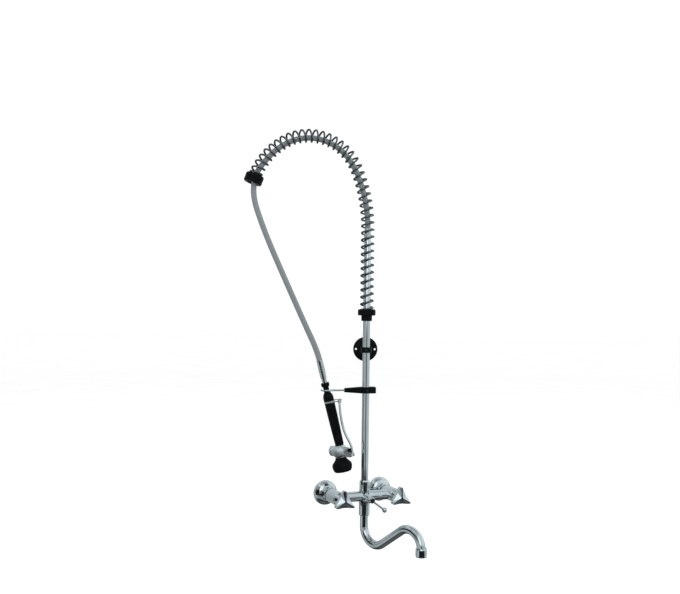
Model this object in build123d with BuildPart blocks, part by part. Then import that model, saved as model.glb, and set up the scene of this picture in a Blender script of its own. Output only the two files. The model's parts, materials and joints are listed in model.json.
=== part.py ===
from build123d import *
import math
import os

os.makedirs("parts", exist_ok=True)

# ---------------------------------------------------------------------------
# Wall-mounted pre-rinse faucet, millimetres, +Z up.
# The wall is the plane y = 0 and the wall is on the +Y side. The origin is the
# middle point between the two water inlets. +X is to the right from the front.
# ---------------------------------------------------------------------------

# driving dimensions
inlet_x = 75.0          # half of the 150 mm between the two inlets
hub_y = -75.0           # riser and hub axis, in front of the wall
stud_r = 10.48          # G 1/2 thread, outside radius
stud_len = 14.0
rosette_r = 31.0
barrel_r = 17.0
bar_r = 12.4
hub_r = 13.8
riser_r = 9.0
riser_bore = 7.5
riser_top = 642.0
arch_deg = 8.0          # the plane of the arch is turned this far towards the wall
spring_r = 17.25        # outside radius of the coil spring
sleeve_wall = 0.87      # wall that gives the sleeve the mass of the wire
hose_r = 7.0
spout_r = 10.5
spout_bore = 8.5
spout_deg = 70.0        # the spout points this far from +X towards the front
spout_reach = 190.0
bracket_deg = 22.4      # the wall bracket is turned this far from the wall normal
bracket_reach = 66.0    # riser axis to the back of the wall disc
disc_r = 31.0
disc_hole_pitch = 24.0
arm_z = 261.6
ring_u = 100.2          # distance of the hook's ring centre from the riser axis
ring_z = 262.0
ring_c = 12.5           # radius of the ring's wire centreline
ring_wire = 2.3
gun_tilt = 14.6         # the spray gun's axis leans this far from the vertical
head_tilt = 3.0         # the head leans back by this much
lever_turn = 50.0       # the squeeze lever's plane, turned towards the front

# unit vectors of the arch plane
ca, sa = math.cos(math.radians(arch_deg)), math.sin(math.radians(arch_deg))
out = Vector(-ca, sa, 0)      # away from the riser, along the arch
back = Vector(sa, ca, 0)      # square to the arch, towards the wall
up = Vector(0, 0, 1)

riser_axis = Axis((0, hub_y, 0), (0, 0, 1))
front_plane = Plane(origin=(0, hub_y, 0), x_dir=(1, 0, 0), z_dir=(0, -1, 0))
arch_plane = Plane(origin=(0, hub_y, 0), x_dir=out, z_dir=back)


def in_arch(u, z):
    return Vector(0, hub_y, 0) + out * u + up * z


# ---------------------------------------------------------------------------
# wall connections
# ---------------------------------------------------------------------------
left_axis = Axis((-inlet_x, 0, 0), (0, 1, 0))

with BuildPart() as rosette_left:
    # thin dome with its open side on the wall
    with BuildSketch(Plane.XY):
        with BuildLine():
            Polyline((-inlet_x + 29.8, 0), (-inlet_x + rosette_r, 0), (-inlet_x + rosette_r, -2.5))
            l1 = ThreePointArc((-inlet_x + rosette_r, -2.5), (-inlet_x + 26.0, -13.6), (-inlet_x + 14.2, -19.5))
            Line((-inlet_x + 14.2, -19.5), (-inlet_x + 13.6, -19.5))
            Line((-inlet_x + 13.6, -19.5), (-inlet_x + 13.6, -18.2))
            ThreePointArc((-inlet_x + 13.6, -18.2), (-inlet_x + 25.0, -12.6), (-inlet_x + 29.8, -2.3))
            Line((-inlet_x + 29.8, -2.3), (-inlet_x + 29.8, 0))
        make_face()
    revolve(axis=left_axis)
rosette_left.part.label = "rosette_left"
export_step(rosette_left.part, "parts/rosette_left.step")

with BuildPart() as rosette_right:
    mirror(rosette_left.part, about=Plane.YZ)
rosette_right.part.label = "rosette_right"
export_step(rosette_right.part, "parts/rosette_right.step")

with BuildPart() as wall_connectors:
    # hollow nipple: wall thread, collar and the thread for the union nut
    with BuildSketch(Plane.XZ.offset(-stud_len)):
        with Locations((-inlet_x, 0), (inlet_x, 0)):
            Circle(stud_r)
    extrude(amount=stud_len)
    with BuildSketch(Plane.XZ):
        with Locations((-inlet_x, 0), (inlet_x, 0)):
            Circle(13.2)
    extrude(amount=31.0)
    with BuildSketch(Plane.XZ.offset(-stud_len)):
        with Locations((-inlet_x, 0), (inlet_x, 0)):
            Circle(7.0)
    extrude(amount=stud_len + 31.0, mode=Mode.SUBTRACT)
wall_connectors.part.label = "wall_connectors"
export_step(wall_connectors.part, "parts/wall_connectors.step")

with BuildPart() as union_nuts:
    with BuildSketch(Plane.XZ.offset(22.0)):
        with Locations((-inlet_x, 0), (inlet_x, 0)):
            RegularPolygon(radius=16.0, side_count=6, major_radius=False, rotation=30)
    extrude(amount=18.0)
    with BuildSketch(Plane.XZ.offset(22.0)):
        with Locations((-inlet_x, 0), (inlet_x, 0)):
            Circle(13.5)
    extrude(amount=14.3, mode=Mode.SUBTRACT)
    with BuildSketch(Plane.XZ.offset(22.0)):
        with Locations((-inlet_x, 0), (inlet_x, 0)):
            Circle(10.2)
    extrude(amount=18.0, mode=Mode.SUBTRACT)
    # rounded corners of the hexagon: keep what is inside a chamfered cylinder
    with BuildSketch(Plane.XZ.offset(22.0)):
        with Locations((-inlet_x, 0), (inlet_x, 0)):
            Circle(17.6)
    extrude(amount=18.0, mode=Mode.INTERSECT)
union_nuts.part.label = "union_nuts"
export_step(union_nuts.part, "parts/union_nuts.step")

with BuildPart() as inlet_washers:
    with BuildSketch(Plane.XZ.offset(31.05)):
        with Locations((-inlet_x, 0), (inlet_x, 0)):
            Circle(12.6)
            Circle(7.0, mode=Mode.SUBTRACT)
    extrude(amount=1.9)
inlet_washers.part.label = "inlet_washers"
export_step(inlet_washers.part, "parts/inlet_washers.step")

with BuildPart() as inlet_tails:
    # flanged tails that the union nuts pull against the washers
    with BuildSketch(Plane.XZ.offset(33.0)):
        with Locations((-inlet_x, 0), (inlet_x, 0)):
            Circle(13.0)
    extrude(amount=2.8)
    with BuildSketch(Plane.XZ.offset(33.0)):
        with Locations((-inlet_x, 0), (inlet_x, 0)):
            Circle(9.7)
    extrude(amount=19.0)
    with BuildSketch(Plane.XZ.offset(33.0)):
        with Locations((-inlet_x, 0), (inlet_x, 0)):
            Circle(7.0)
    extrude(amount=19.0, mode=Mode.SUBTRACT)
inlet_tails.part.label = "inlet_tails"
export_step(inlet_tails.part, "parts/inlet_tails.step")

# ---------------------------------------------------------------------------
# cast mixer body: two valve barrels, the cross bar and the hub
# ---------------------------------------------------------------------------
with BuildPart() as mixer_body:
    with BuildSketch(Plane.XZ.offset(44.0)):
        with Locations((-inlet_x, 0), (inlet_x, 0)):
            Circle(barrel_r)
    extrude(amount=54.0)
    fillet(mixer_body.edges().filter_by(GeomType.CIRCLE), 1.6)
    with BuildSketch(Plane.YZ.offset(-inlet_x)):
        with Locations((hub_y, 0)):
            Circle(bar_r)
    extrude(amount=2 * inlet_x)
    # hub with a male thread above and below
    with BuildSketch(Plane.XY.offset(-19.0)):
        with Locations((0, hub_y)):
            Circle(hub_r)
    extrude(amount=32.0)
    with BuildSketch(Plane.XY.offset(-30.0)):
        with Locations((0, hub_y)):
            Circle(11.4)
    extrude(amount=12.0)
    with BuildSketch(Plane.XY.offset(8.0)):
        with Locations((0, hub_y)):
            Circle(10.4)
    extrude(amount=12.0)
    # boss for the small stop valve, on the front of the hub
    with BuildSketch(Plane.XZ.offset(-hub_y)):
        with Locations((0, -2.5)):
            Circle(11.0)
    extrude(amount=23.0)
    # waterways
    with BuildSketch(Plane.XZ.offset(62.0)):
        with Locations((-inlet_x, 0), (inlet_x, 0)):
            Circle(12.5)
    extrude(amount=40.0, mode=Mode.SUBTRACT)
    with BuildSketch(Plane.XZ.offset(44.0)):
        with Locations((-inlet_x, 0), (inlet_x, 0)):
            Circle(9.9)
    extrude(amount=8.3, mode=Mode.SUBTRACT)
    with BuildSketch(Plane.XZ.offset(44.0)):
        with Locations((-inlet_x, 0), (inlet_x, 0)):
            Circle(7.0)
    extrude(amount=20.0, mode=Mode.SUBTRACT)
    with BuildSketch(Plane.YZ.offset(-inlet_x + 12)):
        with Locations((hub_y, 0)):
            Circle(7.5)
    extrude(amount=2 * inlet_x - 24, mode=Mode.SUBTRACT)
    with BuildSketch(Plane.XY.offset(-30.0)):
        with Locations((0, hub_y)):
            Circle(6.5)
    extrude(amount=50.0, mode=Mode.SUBTRACT)
    with BuildSketch(Plane.XZ.offset(-hub_y)):
        with Locations((0, -2.5)):
            Circle(7.2)
    extrude(amount=23.0, mode=Mode.SUBTRACT)
mixer_body.part.label = "mixer_body"
export_step(mixer_body.part, "parts/mixer_body.step")

# ---------------------------------------------------------------------------
# valves: housing, ceramic discs, spindle, bonnet, handle and its screw
# ---------------------------------------------------------------------------
with BuildPart() as hot_cartridge:
    with BuildSketch(Plane.XY):
        Polygon(
            (-inlet_x + 5.06, -108.0), (-inlet_x + 8.6, -108.0), (-inlet_x + 8.6, -97.0),
            (-inlet_x + 12.3, -97.0), (-inlet_x + 12.3, -62.2), (-inlet_x + 7.0, -62.2),
            (-inlet_x + 7.0, -63.4), (-inlet_x + 9.9, -63.4), (-inlet_x + 9.9, -74.0),
            (-inlet_x + 5.06, -74.0), align=None)
    revolve(axis=left_axis)
    # side windows that let the mixed water into the cross bar
    with BuildSketch(Plane.YZ.offset(-inlet_x - 14)):
        with Locations((-71.8, 0)):
            Rectangle(3.6, 9.0)
    extrude(amount=28.0, mode=Mode.SUBTRACT)
hot_cartridge.part.label = "hot_cartridge"
export_step(hot_cartridge.part, "parts/hot_cartridge.step")

with BuildPart() as cold_cartridge:
    mirror(hot_cartridge.part, about=Plane.YZ)
cold_cartridge.part.label = "cold_cartridge"
export_step(cold_cartridge.part, "parts/cold_cartridge.step")

with BuildPart() as fixed_discs:
    # lower ceramic discs, each with one kidney-shaped port
    with BuildSketch(Plane.XZ.offset(63.5)):
        with Locations((-inlet_x, 0), (inlet_x, 0)):
            Circle(9.6)
        with Locations((-inlet_x, 4.8), (inlet_x, 4.8)):
            SlotOverall(11.0, 4.5, mode=Mode.SUBTRACT)
    extrude(amount=2.8)
fixed_discs.part.label = "fixed_discs"
export_step(fixed_discs.part, "parts/fixed_discs.step")

with BuildPart() as hot_disc:
    with BuildSketch(Plane.XZ.offset(66.35)):
        with Locations((-inlet_x, 0)):
            Circle(9.5)
        with Locations((-inlet_x, -4.8)):
            SlotOverall(11.0, 4.5, mode=Mode.SUBTRACT)
    extrude(amount=3.0)
hot_disc.part.label = "hot_disc"
export_step(hot_disc.part, "parts/hot_disc.step")

with BuildPart() as cold_disc:
    mirror(hot_disc.part, about=Plane.YZ)
cold_disc.part.label = "cold_disc"
export_step(cold_disc.part, "parts/cold_disc.step")

with BuildPart() as hot_spindle:
    # driver plate that holds the upper disc, and the stem
    with BuildSketch(Plane.XZ.offset(69.4)):
        with Locations((-inlet_x, 0)):
            Circle(9.4)
    extrude(amount=2.4)
    with BuildSketch(Plane.XZ.offset(71.0)):
        with Locations((-inlet_x, 0)):
            Circle(5.0)
    extrude(amount=53.0)
    # flat for the grub screw
    with BuildSketch(Plane.XZ.offset(112.4)):
        with Locations((-inlet_x, -5.0)):
            Rectangle(10.0, 1.2)
    extrude(amount=5.2, mode=Mode.SUBTRACT)
hot_spindle.part.label = "hot_spindle"
export_step(hot_spindle.part, "parts/hot_spindle.step")

with BuildPart() as cold_spindle:
    mirror(hot_spindle.part, about=Plane.YZ)
cold_spindle.part.label = "cold_spindle"
export_step(cold_spindle.part, "parts/cold_spindle.step")

with BuildPart() as bonnet_left:
    # cone-shaped cover between the barrel and the handle
    with BuildSketch(Plane.XY):
        Polygon(
            (-inlet_x + 9.0, -98.1), (-inlet_x + 15.8, -98.1), (-inlet_x + 15.8, -101.0),
            (-inlet_x + 12.0, -109.5), (-inlet_x + 12.0, -111.5), (-inlet_x + 9.0, -111.5), align=None)
    revolve(axis=left_axis)
    fillet(bonnet_left.edges().group_by(Axis.Y)[0], 0.8)
bonnet_left.part.label = "bonnet_left"
export_step(bonnet_left.part, "parts/bonnet_left.step")

with BuildPart() as bonnet_right:
    mirror(bonnet_left.part, about=Plane.YZ)
bonnet_right.part.label = "bonnet_right"
export_step(bonnet_right.part, "parts/bonnet_right.step")

with BuildPart() as hot_handle:
    # rounded triangle, apex up. Three flared scoops leave a Y of narrow ridges on the front.
    with BuildSketch(Plane.XZ.offset(117.0)):
        with Locations((-inlet_x, 0)):
            with PolarLocations(22.3, 3, start_angle=90):
                Circle(4.2)
            make_hull()
        # slightly hollow sides
        with Locations((-inlet_x, 0)):
            with PolarLocations(86.5, 3, start_angle=30):
                Circle(72.4, mode=Mode.SUBTRACT)
    extrude(amount=17.0)
    chamfer(hot_handle.faces().sort_by(Axis.Y)[-1].edges(), 1.0)
    with BuildSketch(Plane.XZ.offset(112.0)):
        with Locations((-inlet_x, 0)):
            Circle(11.0)
    extrude(amount=6.0)
    for ang in (30, 150, 270):
        c = math.radians(ang)
        e = Vector(math.cos(c), 0, math.sin(c))
        side = Vector(-math.sin(c), 0, math.cos(c))
        for rho in (0.6, 34.0):
            with BuildSketch(Plane(origin=Vector(-inlet_x, -134.6, 0) + e * (1.6 + rho), x_dir=side, z_dir=e)):
                Ellipse(1.72 * rho, 0.56 * rho)
        loft(mode=Mode.SUBTRACT)
    # bore for the spindle, and the side hole of the grub screw
    with BuildSketch(Plane.XZ.offset(112.0)):
        with Locations((-inlet_x, 0)):
            Circle(5.15)
    extrude(amount=12.4, mode=Mode.SUBTRACT)
    with BuildSketch(Plane.XY.offset(-12.0)):
        with Locations((-inlet_x, -114.6)):
            Circle(2.05)
    extrude(amount=8.0, mode=Mode.SUBTRACT)
hot_handle.part.label = "hot_handle"
export_step(hot_handle.part, "parts/hot_handle.step")

with BuildPart() as cold_handle:
    mirror(hot_handle.part, about=Plane.YZ)
cold_handle.part.label = "cold_handle"
export_step(cold_handle.part, "parts/cold_handle.step")

with BuildPart() as hot_handle_screw:
    # grub screw in the handle's hub, from below, with a hexagon socket
    with BuildSketch(Plane.XY.offset(-10.4)):
        with Locations((-inlet_x, -114.6)):
            Circle(2.0)
    extrude(amount=5.3)
    with BuildSketch(Plane.XY.offset(-10.4)):
        with Locations((-inlet_x, -114.6)):
            RegularPolygon(radius=1.05, side_count=6)
    extrude(amount=2.2, mode=Mode.SUBTRACT)
hot_handle_screw.part.label = "hot_handle_screw"
export_step(hot_handle_screw.part, "parts/hot_handle_screw.step")

with BuildPart() as cold_handle_screw:
    mirror(hot_handle_screw.part, about=Plane.YZ)
cold_handle_screw.part.label = "cold_handle_screw"
export_step(cold_handle_screw.part, "parts/cold_handle_screw.step")

# ---------------------------------------------------------------------------
# small stop valve on the hub with its lever rod and ball
# ---------------------------------------------------------------------------
stop_axis = Axis((0, 0, -2.5), (0, 1, 0))
stop_plane = Plane(origin=(0, 0, -2.5), x_dir=(1, 0, 0), z_dir=(0, 0, 1))

with BuildPart() as stop_bonnet:
    with BuildSketch(stop_plane):
        Polygon((4.06, -90.0), (6.9, -90.0), (6.9, -98.2), (10.4, -98.2), (10.4, -103.0),
                (8.2, -110.0), (8.2, -113.0), (4.06, -113.0), align=None)
    revolve(axis=stop_axis)
stop_bonnet.part.label = "stop_bonnet"
export_step(stop_bonnet.part, "parts/stop_bonnet.step")

with BuildPart() as stop_spindle:
    with BuildSketch(stop_plane):
        Polygon((0, -81.0), (5.9, -81.0), (5.9, -89.6), (4.0, -89.6), (4.0, -121.0), (0, -121.0), align=None)
    revolve(axis=stop_axis)
stop_spindle.part.label = "stop_spindle"
export_step(stop_spindle.part, "parts/stop_spindle.step")

rod_dir = Vector(33.0, -6.0, -25.5).normalized()
rod_foot = Vector(0, -119.0, -2.5)
rod_plane = Plane(origin=rod_foot + rod_dir * 5.6, z_dir=rod_dir)

with BuildPart() as stop_lever:
    # small drum on the spindle, with the thin rod
    with BuildSketch(stop_plane):
        Polygon((4.06, -113.4), (7.4, -113.4), (7.4, -122.0), (5.6, -124.2), (0, -124.2),
                (0, -121.2), (4.06, -121.2), align=None)
    revolve(axis=stop_axis)
    with BuildSketch(rod_plane):
        Circle(2.7)
    extrude(amount=31.0)
stop_lever.part.label = "stop_lever"
export_step(stop_lever.part, "parts/stop_lever.step")

with BuildPart() as stop_ball:
    with Locations(rod_foot + rod_dir * 40.6):
        Sphere(6.4)
    with BuildSketch(rod_plane):
        Circle(2.8)
    extrude(amount=31.2, mode=Mode.SUBTRACT)
stop_ball.part.label = "stop_ball"
export_step(stop_ball.part, "parts/stop_ball.step")

# ---------------------------------------------------------------------------
# swivel spout
# ---------------------------------------------------------------------------
with BuildPart() as spout_nut:
    with BuildSketch(front_plane):
        Polygon((11.7, -19.3), (13.5, -19.3), (13.5, -45.0), (12.6, -47.0), (10.56, -47.0),
                (10.56, -34.4), (11.7, -34.4), align=None)
    revolve(axis=riser_axis)
spout_nut.part.label = "spout_nut"
export_step(spout_nut.part, "parts/spout_nut.step")

with BuildPart() as spout_seal:
    with BuildSketch(Plane.XY.offset(-31.3)):
        with Locations((0, hub_y)):
            Circle(11.2)
            Circle(8.0, mode=Mode.SUBTRACT)
    extrude(amount=1.25)
spout_seal.part.label = "spout_seal"
export_step(spout_seal.part, "parts/spout_seal.step")

cs, ss = math.cos(math.radians(spout_deg)), math.sin(math.radians(spout_deg))
spout_dir = Vector(cs, -ss, 0)
spout_plane = Plane(origin=(0, hub_y, 0), x_dir=spout_dir, z_dir=spout_dir.cross(up))
spout_pts = [(0, -31.6), (0, -148.3), (spout_reach, -19.3), (spout_reach, -101.0)]

with BuildPart() as spout_tube:
    with BuildLine(spout_plane) as spout_path:
        FilletPolyline(*spout_pts, radius=[40.0, 41.0])
    with BuildSketch(Plane(origin=(0, hub_y, -31.6), z_dir=(0, 0, -1))):
        Circle(spout_r)
        Circle(spout_bore, mode=Mode.SUBTRACT)
    sweep(path=spout_path.wires()[0])
    # flange that the nut keeps in place
    with BuildSketch(Plane.XY.offset(-34.0)):
        with Locations((0, hub_y)):
            Circle(11.4)
            Circle(spout_bore, mode=Mode.SUBTRACT)
    extrude(amount=2.4)
spout_tube.part.label = "spout_tube"
export_step(spout_tube.part, "parts/spout_tube.step")

tip = Vector(0, hub_y, 0) + spout_dir * spout_reach
tip_axis = Axis(tip, (0, 0, 1))
tip_plane = Plane(origin=tip, x_dir=(1, 0, 0), z_dir=(0, -1, 0))

with BuildPart() as aerator_housing:
    with BuildSketch(tip_plane):
        Polygon((11.1, -91.0), (12.2, -91.0), (13.6, -94.0), (13.6, -109.5), (12.4, -111.5),
                (10.6, -111.5), (10.6, -109.0), (11.6, -108.4), (11.6, -101.6), (10.56, -101.6), (10.56, -97.0), (11.1, -97.0), align=None)
    revolve(axis=tip_axis)
aerator_housing.part.label = "aerator_housing"
export_step(aerator_housing.part, "parts/aerator_housing.step")

with BuildPart() as aerator_insert:
    with BuildSketch(Plane(origin=tip + Vector(0, 0, -108.2))):
        Circle(11.4)
    extrude(amount=6.4)
    # water holes
    with BuildSketch(Plane(origin=tip + Vector(0, 0, -108.2))):
        with PolarLocations(4.0, 6):
            Circle(0.9)
        with PolarLocations(7.8, 12):
            Circle(0.9)
    extrude(amount=6.4, mode=Mode.SUBTRACT)
aerator_insert.part.label = "aerator_insert"
export_step(aerator_insert.part, "parts/aerator_insert.step")

# ---------------------------------------------------------------------------
# riser
# ---------------------------------------------------------------------------
with BuildPart() as riser_nut:
    with BuildSketch(front_plane):
        Polygon((10.6, 13.2), (12.5, 13.2), (12.5, 36.0), (10.6, 39.0), (9.15, 39.0),
                (9.15, 25.0), (10.6, 25.0), align=None)
    revolve(axis=riser_axis)
riser_nut.part.label = "riser_nut"
export_step(riser_nut.part, "parts/riser_nut.step")

with BuildPart() as riser_seal:
    with BuildSketch(Plane.XY.offset(20.05)):
        with Locations((0, hub_y)):
            Circle(10.2)
            Circle(6.5, mode=Mode.SUBTRACT)
    extrude(amount=2.0)
riser_seal.part.label = "riser_seal"
export_step(riser_seal.part, "parts/riser_seal.step")

with BuildPart() as riser_tube:
    with BuildSketch(Plane.XY.offset(22.1)):
        with Locations((0, hub_y)):
            Circle(riser_r)
    extrude(amount=riser_top - 22.1)
    with BuildSketch(Plane.XY.offset(22.1)):
        with Locations((0, hub_y)):
            Circle(10.3)
    extrude(amount=2.6)
    with BuildSketch(Plane.XY.offset(22.1)):
        with Locations((0, hub_y)):
            Circle(riser_bore)
    extrude(amount=riser_top - 22.1, mode=Mode.SUBTRACT)
riser_tube.part.label = "riser_tube"
export_step(riser_tube.part, "parts/riser_tube.step")

# ---------------------------------------------------------------------------
# wall bracket: clamp on the riser, telescoping rod, round disc with two holes
# ---------------------------------------------------------------------------
cb, sb = math.cos(math.radians(bracket_deg)), math.sin(math.radians(bracket_deg))
wall_dir = Vector(sb, cb, 0)          # from the riser to the disc
side_dir = Vector(cb, -sb, 0)         # along the disc, to the right
bracket_z = 361.0
b_origin = Vector(0, hub_y, bracket_z)


def bracket_at(d):
    return Plane(origin=b_origin + wall_dir * d, x_dir=side_dir, z_dir=wall_dir)


with BuildPart() as bracket_clamp:
    with BuildSketch(Plane.XY.offset(bracket_z - 7.0)):
        with Locations((0, hub_y)):
            Circle(13.6)
    extrude(amount=14.0)
    with BuildSketch(bracket_at(8.0)):
        Circle(6.9)
    extrude(amount=28.0)
    with BuildSketch(Plane.XY.offset(bracket_z - 7.0)):
        with Locations((0, hub_y)):
            Circle(riser_r + 0.06)
    extrude(amount=14.0, mode=Mode.SUBTRACT)
    with BuildSketch(bracket_at(13.0)):
        Circle(4.55)
    extrude(amount=24.0, mode=Mode.SUBTRACT)
    # tapped hole for the set screw, on the front
    with BuildSketch(bracket_at(-5.0)):
        Circle(2.6)
    extrude(amount=-12.0, mode=Mode.SUBTRACT)
bracket_clamp.part.label = "bracket_clamp"
export_step(bracket_clamp.part, "parts/bracket_clamp.step")

with BuildPart() as clamp_screw:
    with BuildSketch(bracket_at(-9.4)):
        Circle(2.5)
    extrude(amount=-4.4)
    with BuildSketch(bracket_at(-11.6)):
        RegularPolygon(radius=1.3, side_count=6)
    extrude(amount=-3.0, mode=Mode.SUBTRACT)
clamp_screw.part.label = "clamp_screw"
export_step(clamp_screw.part, "parts/clamp_screw.step")

with BuildPart() as bracket_rod:
    with BuildSketch(bracket_at(13.6)):
        Circle(4.5)
    extrude(amount=bracket_reach - 6.0 - 13.6 + 3.0)
bracket_rod.part.label = "bracket_rod"
export_step(bracket_rod.part, "parts/bracket_rod.step")

with BuildPart() as wall_disc:
    # shallow dome, flat at the back, with a socket for the rod
    disc_profile = Plane(origin=b_origin, x_dir=side_dir, z_dir=side_dir.cross(wall_dir))
    with BuildSketch(disc_profile):
        with BuildLine():
            Polyline((0, bracket_reach - 9.0), (8.5, bracket_reach - 9.0), (8.5, bracket_reach - 6.6))
            ThreePointArc((8.5, bracket_reach - 6.6), (21.0, bracket_reach - 5.2), (disc_r, bracket_reach - 2.0))
            Polyline((disc_r, bracket_reach - 2.0), (disc_r, bracket_reach), (0, bracket_reach), (0, bracket_reach - 9.0))
        make_face()
    revolve(axis=Axis(b_origin, wall_dir))
    with BuildSketch(bracket_at(bracket_reach - 10.0)):
        Circle(4.55)
    extrude(amount=7.05, mode=Mode.SUBTRACT)
    with BuildSketch(bracket_at(bracket_reach - 10.0)):
        with Locations((-disc_hole_pitch, 0), (disc_hole_pitch, 0)):
            Circle(2.5)
    extrude(amount=12.0, mode=Mode.SUBTRACT)
wall_disc.part.label = "wall_disc"
export_step(wall_disc.part, "parts/wall_disc.step")

# ---------------------------------------------------------------------------
# hook arm with the ring that holds the spray gun
# ---------------------------------------------------------------------------
with BuildPart() as hook_arm:
    with BuildSketch(Plane(origin=(0, hub_y, arm_z - 7.8), x_dir=out, z_dir=(0, 0, 1))):
        Polygon((-24.0, -10.0), (-22.0, -11.5), (-4.0, -13.4), (9.0, -13.0), (55.0, -4.6),
                (55.0, 4.6), (9.0, 13.0), (-4.0, 13.4), (-22.0, 11.5), (-24.0, 10.0), align=None)
    extrude(amount=15.6)
    fillet(hook_arm.edges().filter_by(Axis.Z), 3.0)
    # the upper and lower faces taper towards the tip
    with BuildSketch(Plane(origin=in_arch(0, arm_z) - back * 20, x_dir=out, z_dir=back)):
        Polygon((8.0, 7.9), (60.0, 7.9), (60.0, 4.7), align=None)
        Polygon((8.0, -7.9), (60.0, -7.9), (60.0, -4.7), align=None)
    extrude(amount=40.0, mode=Mode.SUBTRACT)
    chamfer(hook_arm.faces().sort_by(Axis.Z)[-1].edges(), 0.9)
    chamfer(hook_arm.faces().sort_by(Axis.Z)[0].edges(), 0.9)
    with BuildSketch(Plane.XY.offset(arm_z - 8.0)):
        with Locations((0, hub_y)):
            Circle(riser_r + 0.06)
    extrude(amount=16.0, mode=Mode.SUBTRACT)
    # socket for the rod
    with BuildSketch(Plane(origin=in_arch(38.0, arm_z), x_dir=back, z_dir=out)):
        Circle(ring_wire + 0.05)
    extrude(amount=20.0, mode=Mode.SUBTRACT)
    # tapped hole for the set screw, on the front
    with BuildSketch(Plane(origin=in_arch(0, arm_z) - back * 5.0, x_dir=out, z_dir=back)):
        Circle(2.6)
    extrude(amount=-12.0, mode=Mode.SUBTRACT)
    # saw cut of the clamp, and the hole of the clamping screw
    with BuildSketch(Plane(origin=in_arch(-25.0, arm_z), x_dir=back, z_dir=out)):
        Rectangle(1.6, 20.0)
    extrude(amount=18.0, mode=Mode.SUBTRACT)
hook_arm.part.label = "hook_arm"
export_step(hook_arm.part, "parts/hook_arm.step")

with BuildPart() as hook_screw:
    with BuildSketch(Plane(origin=in_arch(0, arm_z) - back * 9.4, x_dir=out, z_dir=back)):
        Circle(2.5)
    extrude(amount=-4.2)
    with BuildSketch(Plane(origin=in_arch(0, arm_z) - back * 11.4, x_dir=out, z_dir=back)):
        RegularPolygon(radius=1.3, side_count=6)
    extrude(amount=-3.0, mode=Mode.SUBTRACT)
hook_screw.part.label = "hook_screw"
export_step(hook_screw.part, "parts/hook_screw.step")

ring_plane = Plane(origin=in_arch(ring_u, arm_z), x_dir=out, z_dir=(0, 0, 1))
# The ring is open towards the wall, so that the arm can swing away forwards.
# In this plane +X is outwards and +Y is towards the front.
open_half = 66.0
with BuildPart() as gun_hook:
    with BuildSketch(Plane(origin=in_arch(38.2, arm_z), x_dir=back, z_dir=out)):
        Circle(ring_wire)
    extrude(amount=ring_u - ring_c - 38.2)
    with BuildLine(ring_plane) as ring_path:
        CenterArc((0, 0), ring_c, -90 + open_half, 360 - 2 * open_half)
    ring_start = ring_path.edges()[0] @ 0
    ring_tangent = ring_path.edges()[0] % 0
    with BuildSketch(Plane(origin=ring_start, z_dir=ring_tangent)):
        Circle(ring_wire)
    sweep(path=ring_path.wires()[0])
gun_hook.part.label = "gun_hook"
export_step(gun_hook.part, "parts/gun_hook.step")

# ---------------------------------------------------------------------------
# spring with its two holders
# ---------------------------------------------------------------------------
arc_r = [370.9, 127.2, 175.3]
arc_a = [23.4, 98.7, 38.3]
spring_foot = 452.4
arch_rise = 662.1

with BuildPart() as lower_spring_holder:
    with BuildSketch(front_plane):
        with BuildLine():
            Polyline((9.15, 459.0), (9.15, 433.0), (12.2, 433.0))
            ThreePointArc((12.2, 433.0), (13.1, 433.4), (13.5, 434.3))
            Polyline((13.5, 434.3), (13.5, 445.6), (14.3, 446.5), (19.0, 446.5))
            ThreePointArc((19.0, 446.5), (21.2, 447.4), (22.1, 449.6))
            Line((22.1, 449.6), (22.1, 458.4))
            ThreePointArc((22.1, 458.4), (21.4, 460.8), (19.4, 462.2))
            Polyline((19.4, 462.2), (17.7, 462.2), (17.7, 452.0), (12.2, 452.0), (12.2, 459.0), (9.15, 459.0))
        make_face()
    revolve(axis=riser_axis)
lower_spring_holder.part.label = "lower_spring_holder"
export_step(lower_spring_holder.part, "parts/lower_spring_holder.step")

with BuildPart() as coil_spring:
    # the coil as a thin sleeve along the arch
    with BuildLine(arch_plane) as spring_path:
        s0 = Line((0, spring_foot), (0, arch_rise))
        s1 = JernArc(start=s0 @ 1, tangent=s0 % 1, radius=arc_r[0], arc_size=-arc_a[0])
        s2 = JernArc(start=s1 @ 1, tangent=s1 % 1, radius=arc_r[1], arc_size=-arc_a[1])
        s3 = JernArc(start=s2 @ 1, tangent=s2 % 1, radius=arc_r[2], arc_size=-arc_a[2])
    with BuildSketch(Plane(origin=(0, hub_y, spring_foot), z_dir=(0, 0, 1))):
        Circle(spring_r)
        Circle(spring_r - sleeve_wall, mode=Mode.SUBTRACT)
    sweep(path=spring_path.wires()[0])
coil_spring.part.label = "coil_spring"
export_step(coil_spring.part, "parts/coil_spring.step")

spring_end = s3 @ 1
end_dir = s3 % 1
print("spring end", spring_end, "direction", end_dir)
cap_axis = Axis(spring_end, end_dir)
cap_plane = Plane(origin=spring_end, x_dir=end_dir.cross(back), z_dir=end_dir.cross(back).cross(end_dir))

with BuildPart() as upper_spring_holder:
    # in this plane +X is square to the axis and +Y runs along it, away from the spring
    with BuildSketch(cap_plane):
        Polygon((17.6, -5.6), (21.0, -5.6), (22.5, -3.8), (22.5, 3.6), (21.7, 4.4), (21.7, 5.6),
                (22.5, 6.4), (22.5, 13.4), (20.8, 15.5), (13.4, 15.5), (9.6, 0.5), (17.6, 0.5), align=None)
    revolve(axis=cap_axis)
upper_spring_holder.part.label = "upper_spring_holder"
export_step(upper_spring_holder.part, "parts/upper_spring_holder.step")

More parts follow.
